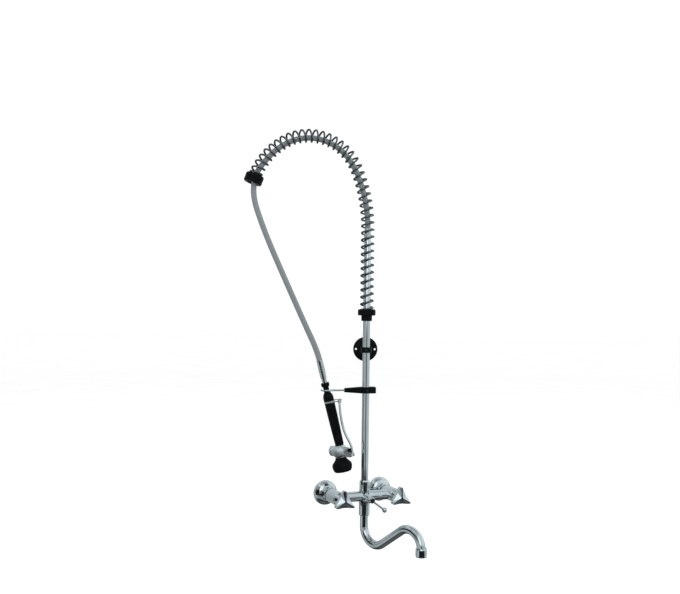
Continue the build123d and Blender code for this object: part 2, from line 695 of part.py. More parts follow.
# ---------------------------------------------------------------------------
# hose: fitting on the riser, crimped ferrules and the hose itself
# ---------------------------------------------------------------------------
with BuildPart() as hose_nut:
    # hexagon on the riser's end, with a male shank inside the tube
    with BuildSketch(Plane.XY.offset(riser_top + 0.05)):
        with Locations((0, hub_y)):
            RegularPolygon(radius=8.9, side_count=6, major_radius=False)
    extrude(amount=7.2)
    with BuildSketch(Plane.XY.offset(628.0)):
        with Locations((0, hub_y)):
            Circle(riser_bore - 0.05)
    extrude(amount=16.0)
    with BuildSketch(Plane.XY.offset(627.0)):
        with Locations((0, hub_y)):
            Circle(4.4)
    extrude(amount=30.0, mode=Mode.SUBTRACT)
    with BuildSketch(Plane.XY.offset(642.4)):
        with Locations((0, hub_y)):
            Circle(6.3)
    extrude(amount=10.0, mode=Mode.SUBTRACT)
hose_nut.part.label = "hose_nut"
export_step(hose_nut.part, "parts/hose_nut.step")

with BuildPart() as hose_root_ferrule:
    with BuildSketch(front_plane):
        Polygon((4.0, 642.5), (6.0, 642.5), (6.0, 649.3), (8.2, 649.3), (8.2, 664.0), (4.0, 664.0), align=None)
    revolve(axis=riser_axis)
hose_root_ferrule.part.label = "hose_root_ferrule"
export_step(hose_root_ferrule.part, "parts/hose_root_ferrule.step")

# spray gun axes
ga = math.radians(gun_tilt)
gun_up = (out * math.sin(ga) + up * math.cos(ga)).normalized()      # from the head to the hose
gun_origin = in_arch(ring_u, ring_z)
lt = math.radians(lever_turn)
lever_flat = out * -math.cos(lt) - back * math.sin(lt)
lever_dir = (lever_flat - gun_up * lever_flat.dot(gun_up)).normalized()
gun_side = Plane(origin=gun_origin, x_dir=lever_dir, z_dir=lever_dir.cross(gun_up))
gun_axis = Axis(gun_origin, gun_up)
lever_norm = lever_dir.cross(gun_up)


def gun_at(s):
    return Plane(origin=gun_origin + gun_up * s, x_dir=lever_dir, z_dir=gun_up)


hose_top_s = 76.0                      # height of the end ferrule's top on the gun's axis
hose_end_uz = (ring_u + hose_top_s * math.sin(ga), ring_z + hose_top_s * math.cos(ga))
hose_uz = [
    (0.0, 664.0), (0.0, 700.1), (16.9, 773.0), (45.0, 831.3), (85.9, 867.4), (136.6, 883.0),
    (189.4, 876.2), (236.4, 847.2), (272.0, 805.0), (285.5, 779.5), (289.3, 752.0), (287.0, 722.0),
    (275.5, 686.0), (249.5, 621.0), (204.5, 524.0), (158.0, 425.0),
    (hose_end_uz[0] + 24.0 * math.sin(ga), hose_end_uz[1] + 24.0 * math.cos(ga)),
    hose_end_uz,
]
hose_pts = [Vector(u, z) for u, z in hose_uz]
hose_radii = []
for a, b, c in zip(hose_pts, hose_pts[1:], hose_pts[2:]):
    r1, r2 = b - a, c - b
    turn = r1.get_angle(r2)
    hose_radii.append(0.45 * min(r1.length, r2.length) / math.tan(math.radians(turn / 2)))
print("hose runs", [round((b - a).length, 1) for a, b in zip(hose_pts, hose_pts[1:])])
print("hose radii", [round(r, 1) for r in hose_radii])

with BuildPart() as hose:
    with BuildLine(arch_plane) as hose_path:
        FilletPolyline(*hose_uz, radius=hose_radii)
    with BuildSketch(Plane(origin=(0, hub_y, 664.0), z_dir=(0, 0, 1))):
        Circle(hose_r)
    sweep(path=hose_path.wires()[0])
hose.part.label = "hose"
export_step(hose.part, "parts/hose.step")
hose_length = hose_path.wires()[0].length
print("hose length", round(hose_length, 1), "volume ratio",
      hose.part.volume / (math.pi * hose_r ** 2 * hose_length))
print("hose points (m)", [tuple(round(k / 1000, 5) for k in in_arch(u, z)) for u, z in hose_uz])

with BuildPart() as hose_end_ferrule:
    with BuildSketch(gun_side):
        Polygon((0, hose_top_s), (7.4, hose_top_s), (7.7, hose_top_s - 0.6), (7.7, 61.0), (8.3, 60.4), (8.3, 57.4),
                (7.9, 57.0), (7.9, 56.2), (8.3, 55.8), (8.3, 52.0), (7.9, 51.6), (7.9, 50.8), (8.3, 50.4),
                (8.3, 46.6), (7.7, 46.0), (7.5, 31.0), (6.4, 30.0), (6.4, 19.0), (5.0, 19.0), (5.0, 11.0),
                (0, 11.0), align=None)
    revolve(axis=gun_axis)
    with BuildSketch(gun_at(10.0)):
        Circle(3.2)
    extrude(amount=hose_top_s - 10.0, mode=Mode.SUBTRACT)
hose_end_ferrule.part.label = "hose_end_ferrule"
export_step(hose_end_ferrule.part, "parts/hose_end_ferrule.step")

# ---------------------------------------------------------------------------
# spray gun
# ---------------------------------------------------------------------------
with BuildPart() as gun_collar:
    # black swivel nut under the ferrule
    with BuildSketch(gun_side):
        Polygon((6.5, 18.7), (9.6, 18.7), (10.2, 17.6), (10.2, 12.0), (8.6, 8.6), (7.5, 8.6),
                (7.5, 15.4), (6.5, 15.4), align=None)
    revolve(axis=gun_axis)
gun_collar.part.label = "gun_collar"
export_step(gun_collar.part, "parts/gun_collar.step")

with BuildPart() as gun_grip:
    # neck, shoulder, groove for the band, and the slim grip
    with BuildSketch(gun_side):
        with BuildLine():
            Polyline((5.3, 14.9), (7.0, 14.9), (7.0, -5.0), (9.0, -7.5))
            ThreePointArc((9.0, -7.5), (11.9, -13.5), (12.8, -21.0))
            Polyline((12.8, -21.0), (12.8, -26.0), (11.6, -26.4), (11.6, -31.2), (12.6, -31.6))
            ThreePointArc((12.6, -31.6), (12.1, -80.0), (10.8, -137.0))
            Polyline((10.8, -137.0), (10.2, -139.0), (6.1, -139.0), (6.1, 6.0), (5.3, 6.0), (5.3, 14.9))
        make_face()
    revolve(axis=gun_axis)
gun_grip.part.label = "gun_grip"
export_step(gun_grip.part, "parts/gun_grip.step")

with BuildPart() as gun_tube:
    with BuildSketch(gun_at(-144.0)):
        Circle(5.9)
        Circle(4.4, mode=Mode.SUBTRACT)
    extrude(amount=149.5)
gun_tube.part.label = "gun_tube"
export_step(gun_tube.part, "parts/gun_tube.step")

with BuildPart() as grip_band:
    # steel band in the groove, with a stub on each side for the lock loop
    with BuildSketch(gun_at(-30.8)):
        Circle(13.4)
        Circle(11.8, mode=Mode.SUBTRACT)
    extrude(amount=4.0)
    with BuildSketch(Plane(origin=gun_origin + gun_up * -28.8, x_dir=gun_up, z_dir=lever_norm)):
        Circle(1.3)
    extrude(amount=16.4, both=True)
    with BuildSketch(gun_at(-32.0)):
        Circle(11.8)
    extrude(amount=6.0, mode=Mode.SUBTRACT)
grip_band.part.label = "grip_band"
export_step(grip_band.part, "parts/grip_band.step")

with BuildPart() as lock_loop:
    # flat wire loop that swings over the end of the lever
    with BuildSketch(Plane(origin=gun_origin + gun_up * -28.8, x_dir=lever_dir, z_dir=gun_up)):
        with BuildLine():
            Polyline((0, 15.9), (24.0, 15.9), (35.4, 6.5), (35.4, -6.5), (24.0, -15.9), (0, -15.9),
                     (0, -14.1), (23.2, -14.1), (33.6, -5.7), (33.6, 5.7), (23.2, 14.1), (0, 14.1), (0, 15.9))
        make_face()
    extrude(amount=0.9, both=True)
    with BuildSketch(Plane(origin=gun_origin + gun_up * -28.8, x_dir=lever_dir, z_dir=lever_norm)):
        Circle(2.6)
    extrude(amount=15.9, both=True)
    with BuildSketch(Plane(origin=gun_origin + gun_up * -28.8, x_dir=lever_dir, z_dir=lever_norm)):
        Circle(4.0)
    extrude(amount=14.1, both=True, mode=Mode.SUBTRACT)
    with BuildSketch(Plane(origin=gun_origin + gun_up * -28.8, x_dir=lever_dir, z_dir=lever_norm)):
        Circle(1.36)
    extrude(amount=17.0, both=True, mode=Mode.SUBTRACT)
lock_loop.part.label = "lock_loop"
export_step(lock_loop.part, "parts/lock_loop.step")

# the head leans back by a few degrees from the grip's foot
ha = math.radians(gun_tilt - head_tilt)
head_up = (out * math.sin(ha) + up * math.cos(ha)).normalized()
head_origin = gun_origin + gun_up * -140.3 + out * 3.3
head_x = (lever_flat - head_up * lever_flat.dot(head_up)).normalized()
head_side = Plane(origin=head_origin, x_dir=head_x, z_dir=head_x.cross(head_up))
head_axis = Axis(head_origin, head_up)
head_norm = head_x.cross(head_up)


def head_at(s):
    return Plane(origin=head_origin + head_up * s, x_dir=head_x, z_dir=head_up)


stem_s = -13.0                         # height of the valve stem
pin_s = -25.0                          # height of the lever's pin
pin_d = 35.0                           # and its distance from the head's axis

with BuildPart() as gun_head:
    # chromed valve body, barrel-shaped, with the valve boss towards the lever
    with BuildSketch(head_side):
        with BuildLine():
            Polyline((0, 0.0), (12.6, 0.0), (15.5, -3.0))
            ThreePointArc((15.5, -3.0), (20.4, -13.0), (15.5, -25.0))
            Polyline((15.5, -25.0), (12.4, -28.0), (0, -28.0), (0, 0.0))
        make_face()
    revolve(axis=head_axis)
    with BuildSketch(Plane(origin=head_origin + head_up * stem_s, x_dir=head_norm, z_dir=head_x)):
        Circle(8.6)
    extrude(amount=25.5)
    # boss at the back, closed by the valve cap
    with BuildSketch(Plane(origin=head_origin + head_up * stem_s, x_dir=head_norm, z_dir=head_x)):
        Circle(11.4)
    extrude(amount=-20.5)
    # two lugs for the lever's pin
    with BuildSketch(head_side):
        Polygon((12.0, -18.0), (30.0, -19.0), (39.5, -21.4), (39.5, -28.2), (33.0, -29.4), (14.0, -27.0), align=None)
    extrude(amount=6.6, both=True)
    with BuildSketch(head_side):
        Polygon((24.5, -15.0), (44.0, -15.0), (44.0, -33.0), (29.5, -33.0), (28.5, -24.0), (24.5, -22.0), align=None)
    extrude(amount=3.55, both=True, mode=Mode.SUBTRACT)
    # pin holes
    with BuildSketch(head_side):
        with Locations((pin_d, pin_s)):
            Circle(1.56)
    extrude(amount=10.0, both=True, mode=Mode.SUBTRACT)
    # inlet bore for the tube, water chamber, outlet
    with BuildSketch(gun_at(-144.5)):
        Circle(6.1)
    extrude(amount=8.0, mode=Mode.SUBTRACT)
    with BuildSketch(head_at(-28.5)):
        Circle(5.0)
    extrude(amount=24.5, mode=Mode.SUBTRACT)
    # chamber for the stem and its spring, stepped at the front
    with BuildSketch(Plane(origin=head_origin + head_up * stem_s + head_x * -22.0, x_dir=head_norm, z_dir=head_x)):
        Circle(5.6)
    extrude(amount=44.0, mode=Mode.SUBTRACT)
    with BuildSketch(Plane(origin=head_origin + head_up * stem_s, x_dir=head_norm, z_dir=head_x)):
        Circle(2.56)
    extrude(amount=26.0, mode=Mode.SUBTRACT)
gun_head.part.label = "gun_head"
export_step(gun_head.part, "parts/gun_head.step")

stem_plane = Plane(origin=head_origin + head_up * stem_s, x_dir=head_norm, z_dir=head_x)


def stem_at(d):
    return Plane(origin=head_origin + head_up * stem_s + head_x * d, x_dir=head_norm, z_dir=head_x)


with BuildPart() as valve_cap:
    # domed cap with a plug that closes the valve chamber
    with BuildSketch(stem_at(-20.6)):
        Circle(12.8)
    extrude(amount=-4.0)
    fillet(valve_cap.edges().group_by(Axis(stem_plane.origin, head_x))[0], 2.4)
    fillet(valve_cap.edges().group_by(Axis(stem_plane.origin, head_x))[-1], 0.6)
    with BuildSketch(stem_at(-21.2)):
        Circle(5.5)
    extrude(amount=14.8)
    # clearance for the stem's end
    with BuildSketch(stem_at(-12.0)):
        Circle(3.0)
    extrude(amount=7.0, mode=Mode.SUBTRACT)
    # two holes for a pin spanner
    with BuildSketch(stem_at(-24.7)):
        with Locations((-6.0, 0), (6.0, 0)):
            Circle(1.1)
    extrude(amount=2.4, mode=Mode.SUBTRACT)
valve_cap.part.label = "valve_cap"
export_step(valve_cap.part, "parts/valve_cap.step")

with BuildPart() as valve_stem:
    with BuildSketch(stem_at(-6.0)):
        Circle(2.5)
    extrude(amount=34.6)
    with BuildSketch(stem_at(6.0)):
        Circle(5.2)
    extrude(amount=2.4)
valve_stem.part.label = "valve_stem"
export_step(valve_stem.part, "parts/valve_stem.step")

with BuildPart() as stem_cap:
    # black push cap on the end of the stem
    with BuildSketch(stem_at(27.9)):
        Circle(4.6)
    extrude(amount=8.3)
    fillet(stem_cap.edges().group_by(Axis(stem_plane.origin, head_x))[-1], 1.5)
    with BuildSketch(stem_at(27.9)):
        Circle(2.6)
    extrude(amount=0.9, mode=Mode.SUBTRACT)
stem_cap.part.label = "stem_cap"
export_step(stem_cap.part, "parts/stem_cap.step")

with BuildPart() as valve_spring:
    # return spring of the valve, pushing the stem outwards
    with BuildLine() as vs_path:
        Helix(pitch=2.6, height=9.1, radius=4.1, center=stem_at(-5.6).origin, direction=head_x)
    vs_edge = vs_path.edges()[0]
    with BuildSketch(Plane(origin=vs_edge @ 0, z_dir=vs_edge % 0)):
        Circle(0.5)
    sweep(path=vs_path.wires()[0], is_frenet=True)
valve_spring.part.label = "valve_spring"
export_step(valve_spring.part, "parts/valve_spring.step")

with BuildPart() as lever_pin:
    with BuildSketch(Plane(origin=head_side.origin + head_x * pin_d + head_up * pin_s - head_norm * 7.4, x_dir=head_x, z_dir=head_norm)):
        Circle(1.5)
    extrude(amount=14.8)
lever_pin.part.label = "lever_pin"
export_step(lever_pin.part, "parts/lever_pin.step")

# squeeze lever: points along its middle line, (distance, height) on the head's plane
lever_mid = [(35.0, -25.0), (38.0, -16.5), (38.4, -6.0), (35.6, 7.0), (30.6, 19.0), (26.8, 31.0),
             (24.4, 45.0), (23.4, 66.0), (24.6, 88.0), (27.4, 107.0), (28.4, 114.0)]
with BuildPart() as spray_lever:
    with BuildSketch(head_side):
        with BuildLine() as lever_line:
            Spline(*[(d, s) for d, s in lever_mid[1:-1]])
        trace(line_width=2.6)
    extrude(amount=3.2, both=True)
    # eye on the pin, and the rounded upper end
    with BuildSketch(head_side):
        with Locations((pin_d, pin_s)):
            Circle(3.6)
        Polygon((34.0, -22.6), (36.8, -15.6), (39.4, -15.6), (38.6, -25.0), align=None)
        with Locations((pin_d, pin_s)):
            Circle(1.56, mode=Mode.SUBTRACT)
    extrude(amount=3.2, both=True)
    with BuildSketch(head_side):
        with Locations((27.9, 109.0)):
            Circle(3.9)
    extrude(amount=3.6, both=True)
spray_lever.part.label = "spray_lever"
export_step(spray_lever.part, "parts/spray_lever.step")

with BuildPart() as spray_face:
    # perforated disc in the mouth of the bell
    with BuildSketch(head_at(-56.0)):
        Circle(17.0)
    extrude(amount=2.2)
    with BuildSketch(head_at(-54.0)):
        Circle(10.8)
    extrude(amount=25.8)
    with BuildSketch(head_at(-53.0)):
        Circle(7.5)
    extrude(amount=26.0, mode=Mode.SUBTRACT)
    with BuildSketch(head_at(-56.5)):
        with PolarLocations(3.2, 4):
            Circle(0.8)
        with PolarLocations(6.4, 8):
            Circle(0.8)
    extrude(amount=5.0, mode=Mode.SUBTRACT)
spray_face.part.label = "spray_face"
export_step(spray_face.part, "parts/spray_face.step")

with BuildPart() as rubber_bumper:
    with BuildSketch(head_side):
        with BuildLine():
            Polyline((11.1, -30.2), (13.2, -30.2))
            Spline((13.2, -30.2), (15.6, -36.0), (21.6, -43.0), (24.5, -50.5), tangents=[(0.1, -1), (0.05, -1)])
            Spline((24.5, -50.5), (23.4, -58.0), (20.4, -64.0), tangents=[(0.0, -1), (-0.8, -1)])
            Polyline((20.4, -64.0), (17.8, -64.0), (17.8, -53.3), (11.1, -53.3), (11.1, -30.2))
        make_face()
    revolve(axis=head_axis)
rubber_bumper.part.label = "rubber_bumper"
export_step(rubber_bumper.part, "parts/rubber_bumper.step")

print("gun origin", gun_origin, "gun_up", gun_up, "lever_dir", lever_dir)
print("head origin", head_origin, "head_up", head_up, "head_x", head_x)
print("lever pin", head_origin + head_x * pin_d + head_up * pin_s, "axis", head_norm)
print("loop pivot", gun_origin + gun_up * -28.8, "axis", lever_norm)
print("tip", tip)
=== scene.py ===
import bmesh
import bpy
import math
from mathutils import Matrix, Vector
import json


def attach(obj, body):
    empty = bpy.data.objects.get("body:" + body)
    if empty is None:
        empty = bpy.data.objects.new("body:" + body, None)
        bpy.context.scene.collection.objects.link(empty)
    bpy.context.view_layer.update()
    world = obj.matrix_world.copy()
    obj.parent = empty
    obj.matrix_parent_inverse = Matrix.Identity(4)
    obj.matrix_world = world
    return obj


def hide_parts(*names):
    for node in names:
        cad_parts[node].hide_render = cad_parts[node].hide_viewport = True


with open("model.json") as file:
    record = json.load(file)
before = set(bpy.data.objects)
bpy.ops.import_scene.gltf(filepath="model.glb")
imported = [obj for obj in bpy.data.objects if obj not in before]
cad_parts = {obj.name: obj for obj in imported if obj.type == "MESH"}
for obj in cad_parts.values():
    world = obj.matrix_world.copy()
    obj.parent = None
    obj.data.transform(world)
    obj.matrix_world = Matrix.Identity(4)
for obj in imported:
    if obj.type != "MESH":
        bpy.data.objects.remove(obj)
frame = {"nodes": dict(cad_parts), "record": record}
nodes = frame["nodes"]
scene = bpy.context.scene

MM = 0.001

# ---------------------------------------------------------------------------
# camera: 22.8 degrees to the left of the wall's normal, almost level
# ---------------------------------------------------------------------------
yaw, pitch, roll = math.radians(22.84), math.radians(1.44), math.radians(0.78)
target = Vector((-0.0411, 0.0, 0.4931))
forward = Vector((math.sin(yaw) * math.cos(pitch), math.cos(yaw) * math.cos(pitch), math.sin(pitch)))
right0 = Vector((math.cos(yaw), -math.sin(yaw), 0.0))
up0 = right0.cross(forward)
right = right0 * math.cos(roll) + up0 * math.sin(roll)
upward = -right0 * math.sin(roll) + up0 * math.cos(roll)
cam_data = bpy.data.cameras.new("camera")
cam = bpy.data.objects.new("camera", cam_data)
scene.collection.objects.link(cam)
cam_data.sensor_fit = "HORIZONTAL"
cam_data.sensor_width = 36.0
cam_data.lens = 884.0 * 36.0 / 680.0
cam_data.clip_start, cam_data.clip_end = 0.05, 100.0
cam.matrix_world = Matrix.Translation(target - forward * 2.254) @ Matrix((right, upward, -forward)).transposed().to_4x4()
scene.camera = cam


# ---------------------------------------------------------------------------
# materials
# ---------------------------------------------------------------------------
def new_material(name):
    m = bpy.data.materials.new(name)
    m.use_nodes = True
    tree = m.node_tree
    tree.nodes.clear()
    out = tree.nodes.new("ShaderNodeOutputMaterial")
    shader = tree.nodes.new("ShaderNodeBsdfPrincipled")
    tree.links.new(shader.outputs[0], out.inputs[0])
    return m, tree, shader


def coords(tree, scale=(1, 1, 1)):
    tc = tree.nodes.new("ShaderNodeTexCoord")
    mp = tree.nodes.new("ShaderNodeMapping")
    mp.inputs["Scale"].default_value = scale
    tree.links.new(tc.outputs["Object"], mp.inputs["Vector"])
    return mp.outputs["Vector"]


def noise(tree, vector, scale, detail=3.0, roughness=0.5):
    n = tree.nodes.new("ShaderNodeTexNoise")
    n.inputs["Scale"].default_value = scale
    n.inputs["Detail"].default_value = detail
    n.inputs["Roughness"].default_value = roughness
    tree.links.new(vector, n.inputs["Vector"])
    return n.outputs["Fac"]


def ranged(tree, value, lo, hi, a=0.3, b=0.7):
    r = tree.nodes.new("ShaderNodeMapRange")
    r.inputs["From Min"].default_value = a
    r.inputs["From Max"].default_value = b
    r.inputs["To Min"].default_value = lo
    r.inputs["To Max"].default_value = hi
    tree.links.new(value, r.inputs["Value"])
    return r.outputs["Result"]


def blend_colour(tree, value, c0, c1, a=0.35, b=0.65):
    ramp = tree.nodes.new("ShaderNodeValToRGB")
    ramp.color_ramp.elements[0].position = a
    ramp.color_ramp.elements[1].position = b
    ramp.color_ramp.elements[0].color = (*c0, 1)
    ramp.color_ramp.elements[1].color = (*c1, 1)
    tree.links.new(value, ramp.inputs["Fac"])
    return ramp.outputs["Color"]


def bump(tree, shader, value, strength, distance):
    b = tree.nodes.new("ShaderNodeBump")
    b.inputs["Strength"].default_value = strength
    b.inputs["Distance"].default_value = distance
    tree.links.new(value, b.inputs["Height"])
    tree.links.new(b.outputs["Normal"], shader.inputs["Normal"])


def metal(name, dark, light, rough, grain=(1, 1, 1), colour_scale=22.0, rough_scale=160.0, bump_scale=700.0,
          bump_strength=0.05, bump_distance=0.0002, edge=1.0):
    m, tree, shader = new_material(name)
    shader.inputs["Metallic"].default_value = 1.0
    shader.inputs["Specular Tint"].default_value = (edge, edge, edge, 1)
    v = coords(tree, grain)
    c = noise(tree, v, colour_scale, 4.0)
    tree.links.new(blend_colour(tree, c, dark, light), shader.inputs["Base Color"])
    r = noise(tree, v, rough_scale, 5.0, 0.6)
    tree.links.new(ranged(tree, r, rough[0], rough[1]), shader.inputs["Roughness"])
    bump(tree, shader, noise(tree, v, bump_scale, 3.0), bump_strength, bump_distance)
    return m


def plastic(name, dark, light, rough, specular=0.5, colour_scale=40.0, bump_scale=1500.0, bump_strength=0.3,
            bump_distance=0.0002):
    m, tree, shader = new_material(name)
    shader.inputs["Metallic"].default_value = 0.0
    shader.inputs["Specular IOR Level"].default_value = specular
    v = coords(tree)
    tree.links.new(blend_colour(tree, noise(tree, v, colour_scale, 4.0), dark, light), shader.inputs["Base Color"])
    r = noise(tree, v, 260.0, 4.0, 0.6)
    tree.links.new(ranged(tree, r, rough[0], rough[1]), shader.inputs["Roughness"])
    bump(tree, shader, noise(tree, v, bump_scale, 4.0, 0.6), bump_strength, bump_distance)
    return m


def braid_material(name):
    m, tree, shader = new_material(name)
    shader.inputs["Metallic"].default_value = 0.6
    att = tree.nodes.new("ShaderNodeAttribute")
    att.attribute_name = "weave_shade"
    # base colour is darker where the braid's surface is lower: painted shade in the hollows of the weave
    tree.links.new(blend_colour(tree, att.outputs["Fac"], (0.07, 0.078, 0.082), (0.37, 0.40, 0.415), 0.05, 0.85),
                   shader.inputs["Base Color"])
    v = coords(tree)
    r = noise(tree, v, 420.0, 4.0, 0.6)
    tree.links.new(ranged(tree, r, 0.48, 0.62), shader.inputs["Roughness"])
    bump(tree, shader, noise(tree, v, 1900.0, 3.0), 0.25, 0.0002)
    return m


chrome = metal("chrome_plate", (0.70, 0.735, 0.745), (0.79, 0.82, 0.83), (0.035, 0.10))
chrome_cast = metal("chrome_cast", (0.66, 0.70, 0.71), (0.78, 0.81, 0.82), (0.05, 0.14), bump_scale=260.0,
                    bump_strength=0.10, bump_distance=0.0004)
# the spring wire's chrome has a dark base colour: painted shade, so the coil looks darker than the other chrome
shaded_chrome_wire = metal("shaded_chrome_wire", (0.16, 0.18, 0.185), (0.26, 0.285, 0.29), (0.14, 0.24), colour_scale=90.0, edge=0.35)
chrome_satin = metal("chrome_satin", (0.84, 0.88, 0.88), (0.91, 0.94, 0.94), (0.50, 0.60), bump_scale=420.0)
steel_black = metal("steel_black", (0.05, 0.05, 0.052), (0.10, 0.10, 0.105), (0.28, 0.40), colour_scale=90.0)
steel = metal("steel_brushed", (0.46, 0.48, 0.49), (0.60, 0.62, 0.63), (0.22, 0.34), grain=(1, 1, 8),
              bump_scale=900.0, bump_strength=0.12)
steel_strip = metal("steel_strip", (0.60, 0.63, 0.64), (0.74, 0.76, 0.77), (0.16, 0.26), grain=(3, 3, 1),
                    bump_scale=800.0, bump_strength=0.08)
brass = metal("brass_turned", (0.55, 0.42, 0.20), (0.72, 0.57, 0.30), (0.18, 0.30), grain=(1, 1, 6))
black_plastic = plastic("black_plastic", (0.0016, 0.0026, 0.0030), (0.0034, 0.0046, 0.0052), (0.30, 0.46), 0.07)
black_rubber = plastic("black_rubber", (0.0016, 0.0025, 0.0029), (0.0034, 0.0044, 0.0050), (0.52, 0.70), 0.06,
                       bump_scale=900.0, bump_strength=0.45)
seal_rubber = plastic("seal_rubber", (0.02, 0.02, 0.02), (0.04, 0.04, 0.04), (0.6, 0.8), 0.3)
grey_plastic = plastic("grey_plastic", (0.30, 0.31, 0.32), (0.40, 0.41, 0.42), (0.35, 0.5))
ceramic = plastic("ceramic", (0.72, 0.72, 0.70), (0.82, 0.82, 0.80), (0.12, 0.25), bump_strength=0.05)
braid = braid_material("hose_braid")

LOOK = {
    "chrome": chrome, "spring_chrome": shaded_chrome_wire, "brass": brass, "ceramic": ceramic,
    "black_plastic": black_plastic, "black_rubber": black_rubber, "seal": seal_rubber, "steel": steel,
    "grey_plastic": grey_plastic, "hose_braid": braid,
}
OWN = {"mixer_body": chrome_cast, "hot_handle": chrome_cast, "cold_handle": chrome_cast, "spray_lever": steel_strip,
       "lock_loop": steel_strip, "gun_head": chrome_satin, "valve_cap": chrome_satin, "clamp_screw": steel_black,
       "hook_screw": steel_black}

slot_of = {row["node"]: row["material_slot"] for row in frame["record"]["subparts"]}
for node_name, node in nodes.items():
    look = OWN.get(node_name, LOOK[slot_of[node_name]])
    if not node.material_slots:
        node.data.materials.append(look)
    for s in node.material_slots:
        s.material = look


# ---------------------------------------------------------------------------
# mesh helpers
# ---------------------------------------------------------------------------
def add_mesh(name, verts, faces, material, body, replaced=(), sharp=38.0):
    mesh = bpy.data.meshes.new(name)
    mesh.from_pydata([tuple(v) for v in verts], [], faces)
    mesh.validate()
    mesh.update()
    mesh.polygons.foreach_set("use_smooth", [True] * len(mesh.polygons))
    if sharp:
        mesh.set_sharp_from_angle(angle=math.radians(sharp))
    mesh.materials.append(material)
    obj = bpy.data.objects.new(name, mesh)
    scene.collection.objects.link(obj)
    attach(obj, body)
    if replaced:
        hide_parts(*replaced)
    return obj


def frames_along(points, start):
    """Tangent and two normals at each point, turning as little as possible."""
    n = len(points)
    out = []
    normal = start
    for i in range(n):
        t = (points[min(i + 1, n - 1)] - points[max(i - 1, 0)]).normalized()
        normal = (normal - t * normal.dot(t)).normalized()
        out.append((t, normal, t.cross(normal)))
    return out


def tube_mesh(points, start, radius_at, around):
    """Closed skin round a line of points; radius_at(i, angle) gives the radius."""
    verts, faces = [], []
    line = frames_along(points, start)
    for i, p in enumerate(points):
        t, n, b = line[i]
        for j in range(around):
            a = math.tau * j / around
            verts.append(p + (n * math.cos(a) + b * math.sin(a)) * radius_at(i, a))
    for i in range(len(points) - 1):
        for j in range(around):
            k = (j + 1) % around
            faces.append((i * around + j, i * around + k, (i + 1) * around + k, (i + 1) * around + j))
    c0 = len(verts)
    verts.append(points[0])
    verts.append(points[-1])
    last = (len(points) - 1) * around
    for j in range(around):
        k = (j + 1) % around
        faces.append((c0, k, j))
        faces.append((c0 + 1, last + j, last + k))
    return verts, faces


def rounded(profile, radii, steps=5):
    """A closed outline with its corners rounded. radii is a number or a list, one for each corner."""
    n = len(profile)
    out = []
    for i, p in enumerate(profile):
        r = radii[i] if isinstance(radii, (list, tuple)) else radii
        a, b, c = Vector(profile[i - 1]), Vector(p), Vector(profile[(i + 1) % n])
        d0, d1 = a - b, c - b
        if r <= 0 or d0.length < 1e-6 or d1.length < 1e-6:
            out.append(tuple(b))
            continue
        half = d0.angle(d1) / 2
        cut = min(r / max(math.tan(half), 1e-6), 0.45 * d0.length, 0.45 * d1.length)
        q0, q1 = b + d0.normalized() * cut, b + d1.normalized() * cut
        for k in range(steps + 1):
            u = k / steps
            out.append(tuple(q0 * (1 - u) ** 2 + b * (2 * u * (1 - u)) + q1 * u ** 2))
    return out


def lathe_mesh(profile, origin, axis, side, around):
    """Closed outline (radius, height) in millimetres turned round an axis."""
    axis, side = Vector(axis).normalized(), Vector(side)
    side = (side - axis * side.dot(axis)).normalized()
    other = axis.cross(side)
    origin = Vector(origin)
    verts, faces = [], []
    n = len(profile)
    for j in range(around):
        a = math.tau * j / around
        d = side * math.cos(a) + other * math.sin(a)
        for r, s in profile:
            verts.append(origin + axis * s * MM + d * r * MM)
    for j in range(around):
        k = (j + 1) % around
        for i in range(n):
            m = (i + 1) % n
            faces.append((j * n + i, k * n + i, k * n + m, j * n + m))
    return verts, faces


# ---------------------------------------------------------------------------
# the hose: one smooth line from the riser's top, through the coil spring, down to the spray gun
# ---------------------------------------------------------------------------
HOSE = [
    (0.0, -0.075, 0.664), (0.0, -0.075, 0.7001), (-0.01674, -0.07265, 0.773), (-0.04456, -0.06874, 0.8313),
    (-0.08506, -0.06305, 0.8674), (-0.13527, -0.05599, 0.883), (-0.18756, -0.04864, 0.8762),
    (-0.2341, -0.0421, 0.8472), (-0.26935, -0.03714, 0.805), (-0.28272, -0.03527, 0.7795),
    (-0.28648, -0.03474, 0.752), (-0.28421, -0.03506, 0.722), (-0.27282, -0.03666, 0.686),
    (-0.24707, -0.04028, 0.621), (-0.20251, -0.04654, 0.524), (-0.15646, -0.05301, 0.425),
    (-0.12419, -0.05755, 0.35877), (-0.1182, -0.05839, 0.33555),
]
curve = bpy.data.curves.new("hose_line", "CURVE")
curve.dimensions = "3D"
spline = curve.splines.new("NURBS")
spline.points.add(len(HOSE) - 1)
for point, place in zip(spline.points, HOSE):
    point.co = (*place, 1.0)
spline.order_u = 3
spline.use_endpoint_u = True
curve.resolution_u = 40
line_obj = bpy.data.objects.new("hose_line", curve)
scene.collection.objects.link(line_obj)
bpy.context.view_layer.update()
line_mesh = bpy.data.meshes.new_from_object(line_obj)
raw = [v.co.copy() for v in line_mesh.vertices]
bpy.data.objects.remove(line_obj)
bpy.data.meshes.remove(line_mesh)


def evenly(points, step):
    """Points on the same line, at even steps."""
    total = sum((b - a).length for a, b in zip(points, points[1:]))
    count = max(2, round(total / step))
    gap = total / count
    out, done, want, i = [points[0].copy()], 0.0, gap, 0
    while len(out) < count and i < len(points) - 1:
        run = (points[i + 1] - points[i]).length
        if run > 0 and done + run >= want:
            out.append(points[i].lerp(points[i + 1], (want - done) / run))
            want += gap
        else:
            done += run
            i += 1
    out.append(points[-1].copy())
    return out, total


hose_line, hose_total = evenly(raw, 0.0007)
CARRIERS = 12
HOSE_R = 0.007


